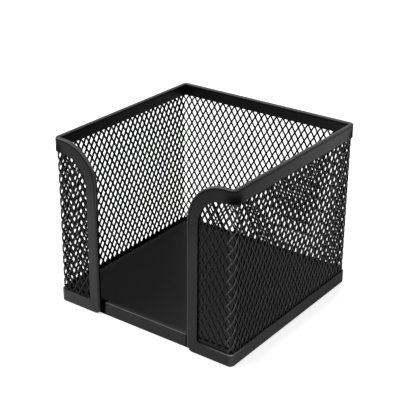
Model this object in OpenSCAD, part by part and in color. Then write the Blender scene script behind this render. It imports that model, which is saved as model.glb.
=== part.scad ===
// Desk box for loose note paper. A strip of expanded metal is bent round four
// corners, a folded steel strip edges it all round, and a pressed tray is its floor.
// X runs along the open front, Y from front to back and Z up. The origin lies on
// the desk, under the middle of the box. All sizes are in millimetres.

/* [Box] */
// Width over the folded edges, left to right
box_w = 102; // [84:1:150]
// Depth over the folded edges, front to back
box_d = 101; // [60:1:150]
// Height from the desk to the top edge
box_h = 86; // [50:0.5:130]
// Outer radius of the four upright bends
corner_r = 2.4; // [2.2:0.1:6]

/* [Front] */
// Width of each half wall beside the open front
return_w = 25; // [16:0.2:36]
// Outer radius of the round shoulder on top of each half wall
shoulder_r = 20; // [8:0.5:24]
// Outer radius where a post turns into the bottom edge
foot_r = 3.2; // [1.5:0.1:4]

/* [Folded edge] */
// Thickness of the steel strip
strip_t = 0.5; // [0.3:0.05:0.8]
// Height of the fold round the top
rim_h = 6.9; // [4.5:0.1:10]
// Width of the fold on each post
post_w = 5.8; // [4.5:0.1:8]
// Height of the fold round the bottom
band_h = 6.4; // [4.5:0.1:10]
// Length by which the fold's inner leg stops short of its outer leg
leg_step = 0.8; // [0:0.1:1.5]
// Rounding along both edges of the fold
crest_r = 0.8; // [0.3:0.05:0.9]
// Width of the mitre seam between a post and the bottom fold
seam_gap = 0.2; // [0.1:0.05:0.4]

/* [Mesh] */
// Thickness of the expanded metal
mesh_t = 0.8; // [0.6:0.05:1.2]
// Clearance on each side of the mesh inside the fold
mesh_gap = 0.1; // [0.05:0.05:0.3]
// Spacing of the diamonds along a wall
diamond_w = 8.4; // [6:0.1:12]
// Spacing of the diamonds up a wall
diamond_h = 14.4; // [8:0.1:18]
// Width of the strands between the diamonds
strand_w = 1.1; // [0.8:0.1:1.6]

/* [Tray] */
// Thickness of the tray's sheet
tray_t = 0.6; // [0.4:0.05:1]
// Height of the floor's upper face above the desk
floor_z = 6.7; // [4:0.1:8]
// Outer radius of the bend round the floor's edge
tray_bend_r = 1.2; // [0.9:0.1:1.6]
// Height of the flanges' lower edge above the desk
tray_foot = 0.1; // [0.1:0.1:1]
// Clearance between the flanges and the folded edge
tray_gap = 0.1; // [0.05:0.05:0.3]

/* [Hidden] */
$fn = 48;

// Shortest flat stretch that is left between a bend and a shoulder
flat_min = 0.5;
// Length by which a cutting shape runs past what it cuts
past = 1;
// Facets of the small rounding along the fold's edges, and of the mesh's bends
crest_fn = 20;
mesh_fn = 24;

// The fold holds the mesh between its two legs
slot_w = mesh_t + 2 * mesh_gap;
fold_t = slot_w + 2 * strip_t;
crest = min(crest_r, fold_t / 2 - 0.05);
outer_r = max(corner_r, fold_t + 0.2);
half_opening = box_w / 2 - return_w;
shoulder = min(shoulder_r, return_w - outer_r - flat_min);
front_leg = max(rim_h, post_w);

// The mesh stops short of the fold's crest by its clearance
mesh_inset = strip_t + mesh_gap;
mesh_end = half_opening + mesh_inset;
mesh_low = mesh_inset;
mesh_high = box_h - mesh_inset;

// The tray stands inside the fold
tray_w = box_w - 2 * (fold_t + tray_gap);
tray_d = box_d - 2 * (fold_t + tray_gap);
tray_r = max(outer_r - fold_t - tray_gap, tray_t + 0.4);
tray_bend = min(tray_bend_r, tray_r - 0.2);

// Colours
coat_dark = [0.16, 0.16, 0.165];
coat_edge = [0.2, 0.2, 0.205];
coat_floor = [0.12, 0.12, 0.125];

// Distance from the middle of a w by d rectangle to one of its sides, right, back, left, front
function side_reach(side, w, d) = (side % 2 == 0 ? w : d) / 2;
function side_length(side, w, d) = side % 2 == 0 ? d : w;

// Straight lengths of a section along the sides of a rounded rectangle. The
// section's x points away from the rectangle and its y points up.
module side_runs(w, d, r, sides = [0:3]) {
    for (side = sides)
        rotate(90 * side)
            translate([side_reach(side, w, d), 0, 0])
                rotate([90, 0, 0])
                    linear_extrude(side_length(side, w, d) - 2 * r, center = true)
                        children();
}

// The same section taken round the rectangle's four corners
module corner_bends(w, d, r) {
    for (corner = [0:3])
        translate([(corner % 3 == 0 ? 1 : -1) * (w / 2 - r), (corner < 2 ? 1 : -1) * (d / 2 - r), 0])
            rotate(90 * corner)
                rotate_extrude(angle = 90)
                    translate([r, 0])
                        children();
}

// Two copies, one on each side of the open front
module both_sides() {
    children();
    mirror([1, 0, 0]) children();
}

// Section of the folded strip: crest at the top, outer face on the y axis. The inner
// leg is the shorter one.
module fold_section(leg) {
    inner = leg - leg_step;
    difference() {
        union() {
            translate([-fold_t / 2, -leg]) square([fold_t / 2, leg - crest]);
            translate([-fold_t, -inner]) square([fold_t, inner - crest]);
            translate([crest - fold_t, -inner]) square([fold_t - 2 * crest, inner]);
            for (x = [crest - fold_t, -crest])
                translate([x, -crest]) circle(crest, $fn = crest_fn);
        }
        translate([strip_t - fold_t, -leg - past]) square([slot_w, leg + past - strip_t]);
    }
}

// The same section with its crest at the bottom
module band_section() {
    mirror([0, 1]) fold_section(band_h);
}

// Fold bent in the plane of the front wall round a centre, a quarter turn from start_angle
module front_bend(x, z, r, leg, start_angle) {
    translate([x, -box_d / 2, z])
        rotate([90, 0, 0])
            rotate(start_angle)
                rotate_extrude(angle = 90)
                    intersection() {
                        translate([r, 0]) mirror([1, -1]) fold_section(leg);
                        translate([0, -fold_t - past]) square([r + past, fold_t + 2 * past]);
                    }
}

// Straight length of a section along the front wall
module front_run(x_from, x_to) {
    translate([(x_from + x_to) / 2, -box_d / 2, 0])
        rotate(-90)
            rotate([90, 0, 0])
                linear_extrude(x_to - x_from, center = true)
                    children();
}

// Upright length of the fold beside the opening
module post_run(z_from, z_to) {
    translate([half_opening, -box_d / 2, z_from])
        linear_extrude(z_to - z_from)
            mirror([1, 1]) fold_section(front_leg);
}

// Foot of a post, with the start of the bottom edge, before the mitre divides them
module foot_corner() {
    front_bend(half_opening + foot_r, foot_r, foot_r, foot_r + leg_step, 180);
    post_run(foot_r, band_h + past);
    front_run(half_opening + foot_r, half_opening + post_w + past) band_section();
}

// What a rounding of radius r takes off a square corner whose rounding has its
// middle at the origin. The corner points to the left and up.
module corner_waste(r) {
    difference() {
        translate([-r - past, 0]) square(r + past);
        circle(r);
    }
}

// Part of the right half wall that the fold leaves open
module window_cut() {
    x0 = half_opening + post_w;
    z1 = box_h - rim_h;
    r = max(shoulder - post_w, 0.3);
    translate([0, fold_t + past - box_d / 2, 0])
        rotate([90, 0, 0])
            linear_extrude(fold_t + 2 * past)
                difference() {
                    translate([x0, band_h]) square([box_w / 2 - outer_r - x0, z1 - band_h]);
                    translate([x0 + r, z1 - r]) corner_waste(r);
                }
}

// Everything on the bottom fold's side of the right mitre, moved along X by shift
module band_zone(shift) {
    low = -past;
    high = band_h + past;
    slope = post_w / band_h;
    translate([half_opening + shift, box_d, 0])
        rotate([90, 0, 0])
            linear_extrude(2 * box_d)
                polygon([[slope * low, low], [box_w, low], [box_w, high], [slope * high, high]]);
}

// Half the seam's width, measured along X
seam_shift = seam_gap / 2 * norm([post_w, band_h]) / band_h;

// Folded strip round the top, down the shoulders and down both posts
module top_rim() {
    arc_x = half_opening + shoulder;
    arc_z = box_h - shoulder;
    color(coat_edge) {
        translate([0, 0, box_h]) {
            side_runs(box_w, box_d, outer_r, [0:2]) fold_section(rim_h);
            corner_bends(box_w, box_d, outer_r) fold_section(rim_h);
        }
        both_sides()
            difference() {
                union() {
                    translate([0, 0, box_h])
                        front_run(arc_x, box_w / 2 - outer_r) fold_section(rim_h);
                    front_bend(arc_x, arc_z, shoulder, front_leg, 90);
                    post_run(foot_r, arc_z);
                    foot_corner();
                }
                window_cut();
                band_zone(-seam_shift);
            }
    }
}

// Folded strip round the bottom, from one mitre to the other
module bottom_rim() {
    color(coat_edge) {
        side_runs(box_w, box_d, outer_r, [0:2]) band_section();
        corner_bends(box_w, box_d, outer_r) band_section();
        both_sides()
            intersection() {
                union() {
                    foot_corner();
                    front_run(half_opening + post_w, box_w / 2 - outer_r) band_section();
                }
                band_zone(seam_shift);
            }
    }
}

// The lattice is laid out along the middle of the mesh, flat walls and bends alike,
// so that it runs on round the corners. A bend takes up two arc_half of it.
bend_r = outer_r - mesh_inset - mesh_t / 2;
arc_half = bend_r * PI / 4;

// Length of a wall from the middle of one bend to the middle of the next
function wall_length(side) = side_length(side, box_w, box_d) - 2 * outer_r + 2 * arc_half;

// Spacing that puts a whole number of diamonds between two bends
function spacing(side) = wall_length(side) / round(wall_length(side) / diamond_w);

// Half width and half height of a diamond once the strands round it are taken off
function gap(w) = [w / 2, diamond_h / 2] * (1 - strand_w * norm([w, diamond_h]) / (w * diamond_h));

function diamond(x, z, size) = [[x + size[0], z], [x, z + size[1]], [x - size[0], z], [x, z - size[1]]];

// Heights of the rows. Even rows have a diamond on each bend, odd rows beside it.
rows = floor((mesh_high - mesh_low - strand_w) / (diamond_h / 2)) - 1;
function row_z(row) = (mesh_low + mesh_high) / 2 + (row - (rows - 1) / 2) * diamond_h / 2;

// Whole flat wall of the mesh, seen from outside, with its foot on the x axis
module mesh_panel(side) {
    half = side_length(side, box_w, box_d) / 2 - outer_r;
    w = spacing(side);
    last = round(wall_length(side) / w) - 1;
    outline = [[-half, mesh_low], [half, mesh_low], [half, mesh_high], [-half, mesh_high]];
    middles = [
        for (row = [0:rows - 1], k = [1:last - row % 2])
            [(k + (row % 2) / 2) * w - wall_length(side) / 2, row_z(row)]
    ];
    polygon(
        concat(outline, [for (m = middles) each diamond(m[0], m[1], gap(w))]),
        [[0, 1, 2, 3], for (i = [1:len(middles)]) [4 * i, 4 * i + 1, 4 * i + 2, 4 * i + 3]]
    );
}

// True where a point of the right half wall lies well inside its outline
function in_half_wall(p, r) =
    p[0] > mesh_end + strand_w
    && (p[0] > mesh_end + r || p[1] < mesh_high - r
        || norm(p - [mesh_end + r, mesh_high - r]) < r - strand_w / 2);

// Mesh of the right half wall, with its round shoulder
module half_panel() {
    r = shoulder - mesh_inset;
    foot = max(foot_r - mesh_inset, 0.3);
    x1 = box_w / 2 - outer_r;
    w = spacing(3);
    difference() {
        translate([mesh_end, mesh_low]) square([x1 - mesh_end, mesh_high - mesh_low]);
        translate([mesh_end + r, mesh_high - r]) corner_waste(r);
        translate([mesh_end + foot, mesh_low + foot]) mirror([0, 1]) corner_waste(foot);
        for (row = [0:rows - 1], k = [1:ceil(return_w / w)])
            let (shape = diamond(x1 + arc_half - (k + (row % 2) / 2) * w, row_z(row), gap(w)))
                if (len([for (p = shape) if (in_half_wall(p, r)) p]) == len(shape))
                    polygon(shape);
    }
}

// Stands a flat shape in a wall's plane, its outer face at the given reach
module stand_up(reach, thickness) {
    translate([reach - thickness, 0, 0])
        rotate([90, 0, 90])
            linear_extrude(thickness)
                children();
}

// Diamonds that lie on a bend, or reach into one from the walls beside it
module bend_gaps() {
    depth = mesh_t + past;
    for (corner = [0:3])
        translate([
            (corner % 3 == 0 ? 1 : -1) * (box_w / 2 - outer_r),
            (corner < 2 ? 1 : -1) * (box_d / 2 - outer_r),
            0
        ])
            rotate(90 * corner) {
                own = gap((spacing(0) + spacing(1)) / 2);
                chord = (bend_r + own[0] - arc_half) * cos(45);
                for (row = [0:2:rows - 1])
                    rotate(45) stand_up(bend_r + depth, 2 * depth)
                        polygon(diamond(0, row_z(row), [chord, own[1]]));
                for (row = [1:2:rows - 1], turn = [0, 1]) {
                    w = spacing(corner + turn);
                    rotate(90 * turn) stand_up(outer_r - mesh_inset + past / 2, depth)
                        polygon(diamond((1 - 2 * turn) * (arc_half - w / 2), row_z(row), gap(w)));
                }
            }
}

// Expanded metal, one strip from post to post round the box
module mesh_wall() {
    color(coat_dark)
        difference() {
            union() {
                for (side = [0:2])
                    rotate(90 * side)
                        stand_up(side_reach(side, box_w, box_d) - mesh_inset, mesh_t)
                            mesh_panel(side);
                corner_bends(box_w, box_d, outer_r, $fn = mesh_fn)
                    translate([-mesh_inset - mesh_t, mesh_low])
                        square([mesh_t, mesh_high - mesh_low]);
                both_sides()
                    rotate(-90) stand_up(box_d / 2 - mesh_inset, mesh_t) half_panel();
            }
            bend_gaps();
        }
}

// Flange of the tray with the bend that joins it to the floor
module tray_section() {
    translate([-tray_t, tray_foot]) square([tray_t, floor_z - tray_bend - tray_foot]);
    translate([-tray_bend, floor_z - tray_bend])
        intersection() {
            difference() {
                circle(tray_bend);
                circle(tray_bend - tray_t);
            }
            square(tray_bend);
        }
}

// Pressed floor with its edges turned down
module base_tray() {
    flat_w = tray_w - 2 * tray_bend;
    flat_d = tray_d - 2 * tray_bend;
    flat_r = tray_r - tray_bend;
    color(coat_floor) {
        side_runs(tray_w, tray_d, tray_r) tray_section();
        corner_bends(tray_w, tray_d, tray_r) tray_section();
        translate([0, 0, floor_z - tray_t])
            linear_extrude(tray_t)
                union() {
                    square([flat_w, flat_d - 2 * flat_r], center = true);
                    square([flat_w - 2 * flat_r, flat_d], center = true);
                    for (x = [-1, 1], y = [-1, 1])
                        translate([x * (flat_w / 2 - flat_r), y * (flat_d / 2 - flat_r)]) circle(flat_r);
                }
    }
}

mesh_wall();
top_rim();
bottom_rim();
base_tray();
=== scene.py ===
import math
import random

import bpy
from mathutils import Matrix, Vector


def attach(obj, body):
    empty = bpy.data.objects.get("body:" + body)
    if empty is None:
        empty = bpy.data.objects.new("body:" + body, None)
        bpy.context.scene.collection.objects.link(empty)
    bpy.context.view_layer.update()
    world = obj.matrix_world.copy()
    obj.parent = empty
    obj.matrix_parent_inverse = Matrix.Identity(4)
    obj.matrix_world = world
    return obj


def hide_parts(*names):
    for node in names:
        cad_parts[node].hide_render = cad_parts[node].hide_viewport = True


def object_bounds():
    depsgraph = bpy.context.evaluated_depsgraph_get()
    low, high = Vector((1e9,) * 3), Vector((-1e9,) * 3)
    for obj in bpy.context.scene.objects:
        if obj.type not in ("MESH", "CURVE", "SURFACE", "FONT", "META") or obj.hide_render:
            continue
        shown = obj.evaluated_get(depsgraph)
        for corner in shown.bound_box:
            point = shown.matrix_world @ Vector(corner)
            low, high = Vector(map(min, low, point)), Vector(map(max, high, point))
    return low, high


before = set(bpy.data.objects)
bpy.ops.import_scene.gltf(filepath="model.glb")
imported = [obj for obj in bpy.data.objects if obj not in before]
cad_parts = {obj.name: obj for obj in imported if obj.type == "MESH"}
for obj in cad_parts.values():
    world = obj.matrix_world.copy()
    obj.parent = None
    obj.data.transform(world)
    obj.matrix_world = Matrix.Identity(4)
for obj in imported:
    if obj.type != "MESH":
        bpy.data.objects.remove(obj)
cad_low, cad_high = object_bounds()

# The frame is in metres. The sizes and places named in this script are in
# millimetres, and the angles in degrees.
MM = 0.001
WIDTH, DEPTH, HEIGHT = (round((high - low) / MM, 1) for low, high in zip(cad_low, cad_high))
FRONT = -DEPTH / 2

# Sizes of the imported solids
RETURN_W = 25.0                   # width of each half wall beside the open front
SHOULDER_R = 20.0                 # round shoulder on top of it
FOOT_R = 3.2                      # bend from a post into the bottom fold
CORNER_R = 2.4                    # upright bends
FOLD_T = 2.0                      # thickness of the folded edge
BAND_H = 6.4                      # height of the bottom fold
GAP = WIDTH / 2 - RETURN_W        # half of the open front

scene = bpy.context.scene
scene.view_settings.view_transform = "Standard"


# Shader nodes

def node(tree, kind, **values):
    """A new shader node, with its settings filled in by name."""
    n = tree.nodes.new(kind)
    for name, value in values.items():
        setattr(n, name, value)
    return n


def linked(tree, kind, *sources, **values):
    """A new shader node with its first inputs linked."""
    n = node(tree, kind, **values)
    for k, source in enumerate(sources):
        tree.links.new(source, n.inputs[k])
    return n


def size_of(tree, a):
    """A socket without its sign."""
    return linked(tree, "ShaderNodeMath", a, operation="ABSOLUTE").outputs[0]


def times(tree, a, b):
    """Product of two sockets."""
    return linked(tree, "ShaderNodeMath", a, b, operation="MULTIPLY").outputs[0]


def larger(tree, a, b):
    """The larger of two sockets."""
    return linked(tree, "ShaderNodeMath", a, b, operation="MAXIMUM").outputs[0]


def xyz(tree, vector):
    """The X, Y and Z outputs of a vector."""
    return linked(tree, "ShaderNodeSeparateXYZ", vector).outputs


def distance(tree, place, point):
    """Distance of a place from a point, with the point in mm and the rest in metres."""
    n = linked(tree, "ShaderNodeVectorMath", place, operation="DISTANCE")
    n.inputs[1].default_value = [c * MM for c in point]
    return n.outputs["Value"]


def blend(tree, share, a, b):
    """Socket a where share is 0, b where it is 1."""
    n = node(tree, "ShaderNodeMix")
    for source, spot in ((share, 0), (a, 2), (b, 3)):
        tree.links.new(source, n.inputs[spot])
    return n.outputs[0]


def map_range(tree, source, low, high, to_low, to_high, **values):
    """Output of a Map Range node from low..high to to_low..to_high."""
    n = linked(tree, "ShaderNodeMapRange", source, **values)
    for name, value in (("From Min", low), ("From Max", high), ("To Min", to_low), ("To Max", to_high)):
        n.inputs[name].default_value = value
    return n.outputs[0]


def along(tree, source, low, high, to_low, to_high, **values):
    """The same for a length or a coordinate, with low and high in mm."""
    return map_range(tree, source, low * MM, high * MM, to_low, to_high, **values)


def across_and_up(tree, across, width, up, rise, low, high):
    """Level that changes over width and over rise. low and high give it at both ends
    of width, at the bottom and at the top of rise."""
    bottom = along(tree, across, *width, *low)
    top = along(tree, across, *width, *high)
    return blend(tree, along(tree, up, *rise, 0, 1), bottom, top)


def ramp(tree, source, stops):
    """Colour output of a ramp with grey stops, each a place and a brightness. The
    greys are a trace blue."""
    trace = 1.02
    n = linked(tree, "ShaderNodeValToRGB", source)
    elements = n.color_ramp.elements
    while len(elements) < len(stops):
        elements.new(0.5)
    for e, (spot, grey) in zip(elements, stops):
        e.position = spot
        e.color = (grey, grey, grey * trace, 1)
    return n.outputs[0]


def noise(tree, place, size, detail):
    """Output of a noise whose patches have about the given size."""
    n = linked(tree, "ShaderNodeTexNoise", place)
    n.inputs["Scale"].default_value = 1 / (size * MM)
    n.inputs["Detail"].default_value = detail
    return n.outputs[0]


# Powder coats

def powder_coat(name, dark, light, paler_colour, gloss, pale_share, sheen):
    """Black powder coat: fine orange peel, slow patches in colour and roughness,
    and a paler colour, which on the folded strip and the tray is painted highlight and light.
    The first function, called with (tree, normal, place), gives the paler colour's share; the
    second gives the specular level, which carries painted light and shade."""
    patch_size, patch_detail = 9, 3
    patches_from, patches_to = 0.3, 0.7
    uneven_paler, uneven_gloss = 0.25, 0.05
    peel_size, peel_detail, peel_depth, peel_strength = 0.5, 2, 0.05, 0.3

    mat = bpy.data.materials.new(name)
    mat.use_nodes = True
    tree = mat.node_tree
    tree.nodes.clear()
    link = tree.links.new
    out = node(tree, "ShaderNodeOutputMaterial")
    skin = node(tree, "ShaderNodeBsdfPrincipled")
    link(skin.outputs[0], out.inputs["Surface"])
    where = node(tree, "ShaderNodeTexCoord").outputs
    normal, place = where["Normal"], where["Object"]

    patches = noise(tree, place, patch_size, patch_detail)
    tone = ramp(tree, patches, ((patches_from, dark), (patches_to, light)))
    paler_tone = ramp(tree, patches, ((patches_from, paler_colour * (1 - uneven_paler)),
                               (patches_to, paler_colour * (1 + uneven_paler))))
    both = node(tree, "ShaderNodeMix", data_type="RGBA")
    link(pale_share(tree, normal, place), both.inputs[0])
    link(tone, both.inputs[6])
    link(paler_tone, both.inputs[7])
    link(both.outputs[2], skin.inputs["Base Color"])
    rough = map_range(tree, patches, patches_from, patches_to, gloss - uneven_gloss, gloss + uneven_gloss)
    link(rough, skin.inputs["Roughness"])
    link(sheen(tree, normal, place), skin.inputs["Specular IOR Level"])

    relief = node(tree, "ShaderNodeBump")
    relief.inputs["Strength"].default_value = peel_strength
    relief.inputs["Distance"].default_value = peel_depth * MM
    link(noise(tree, place, peel_size, peel_detail), relief.inputs["Height"])
    link(relief.outputs[0], skin.inputs["Normal"])
    return mat


def bend_shade(tree, place):
    """Painted shade under the fold at the upright bends: colour and sheen go dark near them."""
    centre = WIDTH / 2 - 0.6, DEPTH / 2 - 1.9, HEIGHT - 6.0
    core, rim, darkest = 1.5, 7.2, 0.05
    folded = linked(tree, "ShaderNodeVectorMath", place, operation="ABSOLUTE").outputs[0]
    return along(tree, distance(tree, folded, centre), core, rim, darkest, 1,
                 interpolation_type="SMOOTHSTEP")


def crest_shade(tree, at, front):
    """Painted shade: a dark line just under the crest of the top fold and the shoulders,
    and a painted shaded edge on the left post below them."""
    past, deep = 0.2, 2.0                     # from just outside the fold, down to here
    # Ramp stops of the painted dark line under the crest, and of the painted shade on the left post's
    # edge.
    dark_line_shade = (0.30, 1), (0.42, 0.3), (0.60, 0.4), (0.90, 1)
    shaded_edge = (0.10, 0.25), (0.95, 1)
    shoulder_foot = 50, 64
    radius = SHOULDER_R + past
    beside = along(tree, size_of(tree, at["X"]), GAP - past, GAP + SHOULDER_R, radius * MM, 0)
    above = along(tree, at["Z"], HEIGHT - radius, HEIGHT, 0, radius * MM)
    corner = linked(tree, "ShaderNodeCombineXYZ", times(tree, front, beside), above).outputs[0]
    reach = linked(tree, "ShaderNodeVectorMath", corner, operation="LENGTH").outputs["Value"]
    down = along(tree, reach, radius, radius - deep, 0, 1)
    right_half = along(tree, at["X"], -5, 5, 0, 1)
    post = larger(tree, ramp(tree, down, shaded_edge), right_half)
    return blend(tree, along(tree, at["Z"], *shoulder_foot, 0, 1), post, ramp(tree, down, dark_line_shade))


def lip_glint(tree, place):
    """Glint on the lip of the bottom fold beside its front right bend."""
    centre = WIDTH / 2 - 4, FRONT + 0.7, BAND_H
    core, rim, brightest = 2, 12, 7
    near = along(tree, distance(tree, place, centre), core, rim, 1, 0)
    lip = along(tree, xyz(tree, place)["Z"], BAND_H - 0.5, BAND_H - 0.3, 0, 1)
    return map_range(tree, times(tree, near, lip), 0, 1, 1, brightest)


def flange_end_shade(tree, at):
    """Painted shade beside each post, at the ends of the front flange: 0 there, 1 elsewhere."""
    shade_w, flange_y, blur = 1.6, FRONT + 4.1, (0.8, 1.0)
    beside = along(tree, size_of(tree, at["X"]), GAP - shade_w - blur[0], GAP - shade_w, 0, 1)
    ahead = along(tree, at["Y"], flange_y, flange_y + blur[1], 1, 0)
    return map_range(tree, times(tree, beside, ahead), 0, 1, 1, 0)


def paler_upward(tree, normal, place):
    """A little paler all over, more toward the top."""
    return along(tree, xyz(tree, place)["Z"], 0, HEIGHT, 0.3, 0.5)


def strand_painted_sheen(tree, normal, place):
    """Shine as each face's attribute says, next to none where it is 0; the attribute carries painted
    light and shade.
    """
    side = node(tree, "ShaderNodeAttribute", attribute_name="outer")
    return map_range(tree, side.outputs["Fac"], 0, 4, 0.02, 0.98)


def edge_painted_highlight(tree, normal, place):
    """Painted highlight: paler colour on both edges of the crest, and more on the bottom fold, held back
    by the painted shade at the upright bends.
    """
    lip_top, lip_fade, lip_highlight = 8, 20, 2.8
    crest = ramp(tree, xyz(tree, normal)["Z"], ((0.25, 0), (0.50, 1), (0.82, 1), (0.95, 0.35)))
    # Painted highlight, stronger on the lip of the bottom fold.
    lip = along(tree, xyz(tree, place)["Z"], lip_top, lip_fade, lip_highlight, 1)
    return times(tree, times(tree, crest, lip), bend_shade(tree, place))


def edge_painted_sheen(tree, normal, place):
    """Sheen of the folded strip, with painted light and shade: higher in the upright
    bends and on the posts, lower on its inner faces, in a painted dark line under the crest
    and at the upright bends, with a painted glint on the lip of the bottom fold. Along the
    sides it grows toward the back at the top and toward the front at the bottom."""
    n, at = xyz(tree, normal), xyz(tree, place)
    flat, bent, inside = 0.15, 0.34, 0.65
    # Higher sheen in the upright bends: painted highlight.
    level = map_range(tree, size_of(tree, times(tree, n["X"], n["Y"])), 0, 0.5, flat, bent)
    outward = linked(tree, "ShaderNodeVectorMath", normal, place, operation="DOT_PRODUCT")
    # Lower sheen on the inner faces: painted shade.
    inner = along(tree, outward.outputs["Value"], -30, -5, inside, 1)
    # Painted light and shade: on the sides the sheen changes along their length and height, and on the
    # posts it is highest low on the left post.
    sides = across_and_up(tree, at["Y"], (-46, 30), at["Z"], (10, 76), low=(0.74, 0.30), high=(0.50, 1))
    posts = across_and_up(tree, at["X"], (-34, 34), at["Z"], (50, 76), low=(1.9, 1.25), high=(0.95, 0.80))
    front = along(tree, at["Y"], FRONT + 1.5, FRONT + 3.5, 1, 0)
    wall = blend(tree, front, times(tree, inner, sides), posts)
    # Painted dark line under the crest, painted shade at the upright bends and a painted glint on the
    # lip.
    for more in (wall, crest_shade(tree, at, front), bend_shade(tree, place), lip_glint(tree, place)):
        level = times(tree, level, more)
    return level


def tray_painted_light(tree, normal, place):
    """Painted highlight on the front crest, and painted light on the floor along the walls where shade
    falls, both cut at the painted shade of the flange ends.
    """
    painted_light_from, painted_light_full = 45.0, 47.5
    at = xyz(tree, place)
    crest = ramp(tree, xyz(tree, normal)["Z"], ((0.52, 0), (0.66, 1), (0.86, 1), (0.97, 0.20)))
    wall = larger(tree, size_of(tree, at["X"]), size_of(tree, at["Y"]))
    near = along(tree, wall, painted_light_from, painted_light_full, 0, 1)
    return times(tree, times(tree, crest, near), flange_end_shade(tree, at))


def tray_painted_sheen(tree, normal, place):
    """Sheen on the turned-down edges; low on the floor, painted shade, and lower in a painted dark line
    under the front crest and at the flange ends.
    """
    edges, floor_level = 0.18, 0.072
    up = xyz(tree, normal)["Z"]
    dark_line_shade = ramp(tree, up, ((0.06, 1), (0.22, 0.35), (0.50, 0.35), (0.64, 1)))
    level = times(tree, map_range(tree, up, 0.80, 0.97, edges, floor_level), dark_line_shade)
    return times(tree, level, flange_end_shade(tree, xyz(tree, place)))


mesh_coat = powder_coat("mesh_coating", dark=0.0015, light=0.003, paler_colour=0.003, gloss=0.36,
                        pale_share=paler_upward, sheen=strand_painted_sheen)
edge_coat = powder_coat("edge_coating", dark=0.002, light=0.004, paler_colour=0.075, gloss=0.34,
                        pale_share=edge_painted_highlight, sheen=edge_painted_sheen)
tray_coat = powder_coat("tray_coating", dark=0.002, light=0.004, paler_colour=0.085, gloss=0.36,
                        pale_share=tray_painted_light, sheen=tray_painted_sheen)

for name, coat in (("top_rim", edge_coat), ("bottom_rim", edge_coat), ("base_tray", tray_coat)):
    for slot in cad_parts[name].material_slots:
        slot.material = coat


# Expanded metal

# The lattice is laid out flat: u runs along the middle of the sheet from the
# right post round the back to the left post, v is the height.

INSET = 0.6                       # the sheet's edges lie this far inside the folds' outline
HALF_W = (WIDTH - FOLD_T) / 2     # middle of the sheet from the box's middle
HALF_D = (DEPTH - FOLD_T) / 2
BEND = CORNER_R - FOLD_T / 2      # its radius in the upright bends
END = GAP + INSET                 # its ends beside the open front
LOW, HIGH = INSET, HEIGHT - INSET
SHOULDER = SHOULDER_R - INSET
FOOT = FOOT_R - INSET

WIDE, TALL = 3.66, 6.12           # one diamond, across and upright
STRAND, SHEET = 0.72, 0.73        # a strand's width and thickness
LEFT_STRAND = 1.12 * STRAND       # a strand's width on the left wall
BOND, NECK = 0.42, 0.48           # height and half the width of the joint between two strands
STRAY_U, STRAY_V = 0.05, 0.06     # how far a crossing lies off its place at most
NEAREST = 0.85                    # no crossing lies nearer to the sheet's outline
LEANS = {"front": -2, "back": 16, "right": -1, "left": 6}  # turn of the strands out of the wall
COURSE = (1 / 3, 0.32), (2 / 3, 0.68)  # a strand's course: shares of its rise and its way across

# The sheet is flattened inside the folds, to this share of its thickness
FLATTENED = 0.80
FLAT_TO, FULL_FROM = 5.0, 7.0     # from its edge

# Plain margin under the lowest diamonds, a strip put where there is shade just above the bottom fold: its
# lower edge above the sheet's, its upper edge above the desk on each wall, and its share of the sheet's
# thickness
MARGIN_LOW = 1.5
MARGINS = {"front right": 8.3, "right": 6.7, "back": 7.9, "left": 7.7, "front left": 7.1}
MARGIN_T = 0.84
MARGIN_STEPS = 400

# Shine of the outer faces, where 4 is the most, of the right side of the falling
# strands on the front, and of the margin's outer face: painted light and shade. Rising strands shine more
# than falling ones and the front more than the rest, where light falls; the other faces get next to none,
# painted shade.
RISING, FALLING, JOINT = 0.48, 0.16, 0.36
ON_FRONT, FRONT_SIDE, MARGIN_SHINE = 0.56, 0.34, 0.45
# Painted highlight on the outer faces in the upright bends and beside them.
BEND_HIGHLIGHT, BEND_HIGHLIGHT_REACH = 4.0, 1.5

front_run = HALF_W - BEND - END
side_run = 2 * (HALF_D - BEND)
back_run = 2 * (HALF_W - BEND)
runs = [front_run, None, side_run, None, back_run, None, side_run, None, front_run]  # None is a bend
QUARTER = BEND * math.pi / 2
LENGTH = sum(QUARTER if run is None else run for run in runs)


def on_path(u):
    """Middle of the sheet at u and its outward normal, seen from above."""
    left = min(max(u, 0), LENGTH)
    x, y, heading = END, -HALF_D, 0.0
    for run in runs:
        step = min(left, QUARTER if run is None else run)
        if run is None:
            x, y = x - BEND * math.sin(heading), y + BEND * math.cos(heading)
            heading += step / BEND
            x, y = x + BEND * math.sin(heading), y - BEND * math.cos(heading)
        else:
            x, y = x + step * math.cos(heading), y + step * math.sin(heading)
        left -= step
        if left <= 0:
            break
    return (x, y), (math.sin(heading), -math.cos(heading))


def facing(u):
    """Outward normal of the sheet at u."""
    return on_path(u)[1]


def wall_at(u):
    """Name of the wall at u."""
    nx, ny = facing(u)
    if abs(ny) <= 0.7:
        return "right" if nx > 0 else "left"
    if ny > 0:
        return "back"
    return "front right" if u < LENGTH / 2 else "front left"


def lean_at(u):
    """How far the strands turn out of the sheet at u, in radians."""
    nx, ny = facing(u)
    front_or_back = LEANS["back" if ny > 0 else "front"]
    side = LEANS["left" if nx < 0 else "right"]
    return math.radians(ny * ny * front_or_back + nx * nx * side)


def bend_highlight(u):
    """Painted highlight: outer faces shine more where the sheet was bent and just beside it."""
    bent = 0.0
    for near in (u - BEND_HIGHLIGHT_REACH, u, u + BEND_HIGHLIGHT_REACH):
        nx, ny = facing(near)
        bent = max(bent, (2 * nx * ny) ** 2)
    return 1.0 + BEND_HIGHLIGHT * bent


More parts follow.
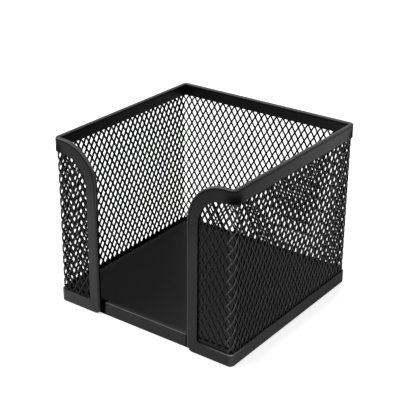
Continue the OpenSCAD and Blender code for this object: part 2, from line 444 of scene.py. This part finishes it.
def inset(u, v):
    """How far the point lies inside the sheet's outline."""
    end = min(u, LENGTH - u)
    depth = min(end, v - LOW, HIGH - v)
    for radius, edge in ((SHOULDER, HIGH - v), (FOOT, v - LOW)):
        if max(end, edge) < radius:
            depth = min(depth, radius - math.hypot(radius - end, radius - edge))
    return depth


def place(u, n, v):
    """Point of the row frame, in metres, for the flat sheet's u, n, v."""
    full = min(max((inset(u, v) - FLAT_TO) / (FULL_FROM - FLAT_TO), 0), 1)
    out = n * (FLATTENED + (1 - FLATTENED) * full)
    (x, y), (nx, ny) = on_path(u)
    return ((x + out * nx) * MM, (y + out * ny) * MM, v * MM)


points, faces, shine = [], [], []


def add(*corners, share=0.0):
    """A face, with its share of the shine."""
    faces.append(corners)
    shine.append(share)


def pair(u, v, s):
    """Outer and inner point of a cross-section, at s along its width."""
    lean = lean_at(u)
    for t in (SHEET / 2, -SHEET / 2):
        points.append(place(u + s * math.cos(lean) - t * math.sin(lean),
                            s * math.sin(lean) + t * math.cos(lean), v))
    return [len(points) - 2, len(points) - 1]


def skin(a, b, share, right):
    """Faces between two cross-sections, each given as its left outer, left inner,
    right outer and right inner point."""
    add(a[0], a[2], b[2], b[0], share=share)
    add(a[2], a[3], b[3], b[2], share=right)
    # The inner face and the left side get next to no shine: painted shade between the strands.
    add(a[3], a[1], b[1], b[3])
    add(a[1], a[0], b[0], b[1])


def crossings():
    """Every joint of the lattice by column and row: its u and v, and the three point
    pairs along its lower (-1) and upper (1) edge."""
    luck = random.Random(7)
    columns = int(LENGTH / (WIDE / 2)) + 2
    rows = int((HIGH - LOW) / (TALL / 2)) + 1
    found = {}
    for i in range(-columns, columns + 1):
        for j in range(-rows, rows + 1):
            if (i + j) % 2:
                continue
            u = LENGTH / 2 + i * WIDE / 2 + luck.uniform(-STRAY_U, STRAY_U)
            v = (LOW + HIGH) / 2 + j * TALL / 2 + luck.uniform(-STRAY_V, STRAY_V)
            if inset(u, v) > NEAREST:
                found[i, j] = (u, v, {end: [pair(u, v + end * BOND / 2, s) for s in (-NECK, 0, NECK)]
                                      for end in (-1, 1)})
    return found


def joint(u, low, high):
    """Block of a joint between its lower and upper edge."""
    for k in (0, 1):
        add(low[k][0], low[k + 1][0], high[k + 1][0], high[k][0], share=JOINT * bend_highlight(u))
        add(low[k + 1][1], low[k][1], high[k][1], high[k + 1][1])
    add(low[0][1], low[0][0], high[0][0], high[0][1])
    add(low[2][0], low[2][1], high[2][1], high[2][0])


def strand(start, end, step):
    """Strand from one joint up to the next one on the left (-1) or the right (1)."""
    (u1, v1, ring1), (u2, v2, ring2) = start, end
    half1, half2 = (0, 1) if step < 0 else (1, 0)
    # Painted light: the front panels' outer faces and the right side of their falling strands shine more,
    # and rising strands more than falling ones.
    front = max(-facing(u1)[1], 0)
    share = FALLING if step < 0 else RISING
    share += (ON_FRONT - share) * front
    right = FRONT_SIDE * front if step < 0 else 0.0
    foot, top = v1 + BOND / 2, v2 - BOND / 2
    last = ring1[1][half1] + ring1[1][half1 + 1]
    for rise, way in COURSE:
        u, v = u1 + way * (u2 - u1), foot + rise * (top - foot)
        middle = step * NECK * (0.5 - way)
        half = (LEFT_STRAND if wall_at(u) == "left" else STRAND) / 2
        here = pair(u, v, middle - half) + pair(u, v, middle + half)
        skin(last, here, share * bend_highlight(u), right)
        last = here
    skin(last, ring2[-1][half2] + ring2[-1][half2 + 1], share * bend_highlight(u2), right)


def lattice():
    """All joints and strands, with a cap where a strand is missing."""
    joints = crossings()
    for (i, j), (u, v, ring) in joints.items():
        low, high = ring[-1], ring[1]
        joint(u, low, high)
        for step, k in ((-1, 0), (1, 1)):
            if (i + step, j + 1) in joints:
                strand((u, v, ring), joints[i + step, j + 1], step)
            else:
                add(high[k][0], high[k + 1][0], high[k + 1][1], high[k][1])
        for step, k in ((-1, 0), (1, 1)):
            if (i + step, j - 1) not in joints:
                add(low[k][0], low[k][1], low[k + 1][1], low[k + 1][0])


def margin():
    """The sheet's plain margin, from one end to the other, put where there is shade: its inner faces and
    edges get next to no shine, painted shade, and its outer face some, painted light.
    """
    half = MARGIN_T * SHEET / 2
    sections = []
    for k in range(MARGIN_STEPS + 1):
        u = FOOT / 2 + (LENGTH - FOOT) * k / MARGIN_STEPS
        sections.append(len(points))
        for v in (LOW + MARGIN_LOW, MARGINS[wall_at(u)]):
            points.extend((place(u, half, v), place(u, -half, v)))
    for a, b in zip(sections, sections[1:]):
        for p, q, share in ((0, 1, 0.0), (1, 3, 0.0), (3, 2, 0.0), (2, 0, MARGIN_SHINE)):
            add(a + p, a + q, b + q, b + p, share=share)
    for a in (sections[0], sections[-1]):
        add(a, a + 1, a + 3, a + 2)


def expanded_metal():
    """The wall's true mesh, as one object."""
    lattice()
    margin()
    data = bpy.data.meshes.new("expanded_metal")
    data.from_pydata(points, [], faces)
    data.update()
    data.materials.append(mesh_coat)
    # Each face's shine, painted light and shade, goes to the shader as the attribute outer.
    data.attributes.new("outer", "FLOAT", "FACE").data.foreach_set("value", shine)
    sheet = bpy.data.objects.new("expanded_metal", data)
    scene.collection.objects.link(sheet)
    return sheet


mesh = expanded_metal()
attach(mesh, "root")
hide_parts("mesh_wall")


# Background, lamps and camera

SKY, WHITE = 0.6, 1.0             # the world's light on the object, and as it is seen
PAPER, GLOW = 0.8, 0.64           # the floor's colour, and its own light as it is seen
FLOOR_SIZE = 12000
FLOOR_DROP = 0.2                  # keeps the floor clear of the object's underside

AZIMUTH, ELEVATION, ROLL = 36.152, 24.541, 0.450
AIM_HEIGHT, AIM_RIGHT, AIM_UP = 41.25, -3.015, 7.663
DISTANCE = 523.954
LENS, SENSOR = 96.95, 36
NEAR_CLIP = 10
LAMP_AIM = 40                     # height at which the lamps point


def seen_directly(tree):
    """1 on camera, glossy and transmission rays, 0 on the rest."""
    rays = node(tree, "ShaderNodeLightPath").outputs
    either = larger(tree, rays["Is Camera Ray"], rays["Is Glossy Ray"])
    return larger(tree, either, rays["Is Transmission Ray"])


def studio():
    """World that lights the object evenly and is white where it is seen."""
    world = bpy.data.worlds.new("studio")
    world.use_nodes = True
    tree = world.node_tree
    tree.nodes.clear()
    shades = []
    for strength in (SKY, WHITE):
        shade = node(tree, "ShaderNodeBackground")
        shade.inputs["Strength"].default_value = strength
        shade.inputs["Color"].default_value = (1, 1, 1, 1)
        shades.append(shade.outputs[0])
    mix = linked(tree, "ShaderNodeMixShader", seen_directly(tree), *shades)
    linked(tree, "ShaderNodeOutputWorld", mix.outputs[0])
    return world


def pale_floor():
    """Floor that keeps the object's shadow and is white elsewhere."""
    bpy.ops.mesh.primitive_plane_add(size=FLOOR_SIZE * MM, location=(0, 0, -FLOOR_DROP * MM))
    plane = bpy.context.object
    plane.name = "floor"
    pale = bpy.data.materials.new("floor")
    pale.use_nodes = True
    tree = pale.node_tree
    tree.nodes.clear()
    paper = node(tree, "ShaderNodeBsdfDiffuse")
    paper.inputs["Color"].default_value = (PAPER, PAPER, PAPER, 1)
    glow = node(tree, "ShaderNodeEmission")
    glow.inputs["Color"].default_value = (1, 1, 1, 1)
    tree.links.new(map_range(tree, seen_directly(tree), 0, 1, 0, GLOW), glow.inputs["Strength"])
    both = linked(tree, "ShaderNodeAddShader", paper.outputs[0], glow.outputs[0])
    linked(tree, "ShaderNodeOutputMaterial", both.outputs[0])
    plane.data.materials.append(pale)
    return plane


def lamp(name, place, size, watts):
    """Soft lamp that points at the middle of the box. Its place and size are in metres."""
    data = bpy.data.lights.new(name, "AREA")
    data.shape = "RECTANGLE"
    data.size, data.size_y = size
    data.energy = watts
    o = bpy.data.objects.new(name, data)
    scene.collection.objects.link(o)
    o.location = place
    aim = Vector((0, 0, LAMP_AIM * MM)) - Vector(place)
    o.rotation_euler = aim.to_track_quat("-Z", "Y").to_euler()


def photograph_camera():
    """Camera at the photograph's angle."""
    azimuth, elevation, roll = (math.radians(a) for a in (AZIMUTH, ELEVATION, ROLL))
    back = Vector((math.sin(azimuth) * math.cos(elevation), -math.cos(azimuth) * math.cos(elevation),
                   math.sin(elevation)))
    level = Vector((math.cos(azimuth), math.sin(azimuth), 0))
    upright = back.cross(level)
    right = math.cos(roll) * level + math.sin(roll) * upright
    up = -math.sin(roll) * level + math.cos(roll) * upright
    eye = (right * AIM_RIGHT + up * AIM_UP + Vector((0, 0, AIM_HEIGHT)) + back * DISTANCE) * MM
    lens = bpy.data.cameras.new("camera")
    lens.lens = LENS
    lens.sensor_width = SENSOR
    lens.clip_start = NEAR_CLIP * MM
    o = bpy.data.objects.new("camera", lens)
    scene.collection.objects.link(o)
    o.matrix_world = Matrix.Translation(eye) @ Matrix((right, up, back)).transposed().to_4x4()
    return o


scene.world = studio()
floor = pale_floor()
lamp("key", (-0.55, -0.42, 0.74), (0.34, 0.34), 3.0)
lamp("back", (-0.3, 0.5, 0.6), (0.4, 0.4), 1.3)
lamp("front", (-0.55, -0.65, 0.26), (0.6, 0.4), 3.2)
scene.camera = photograph_camera()
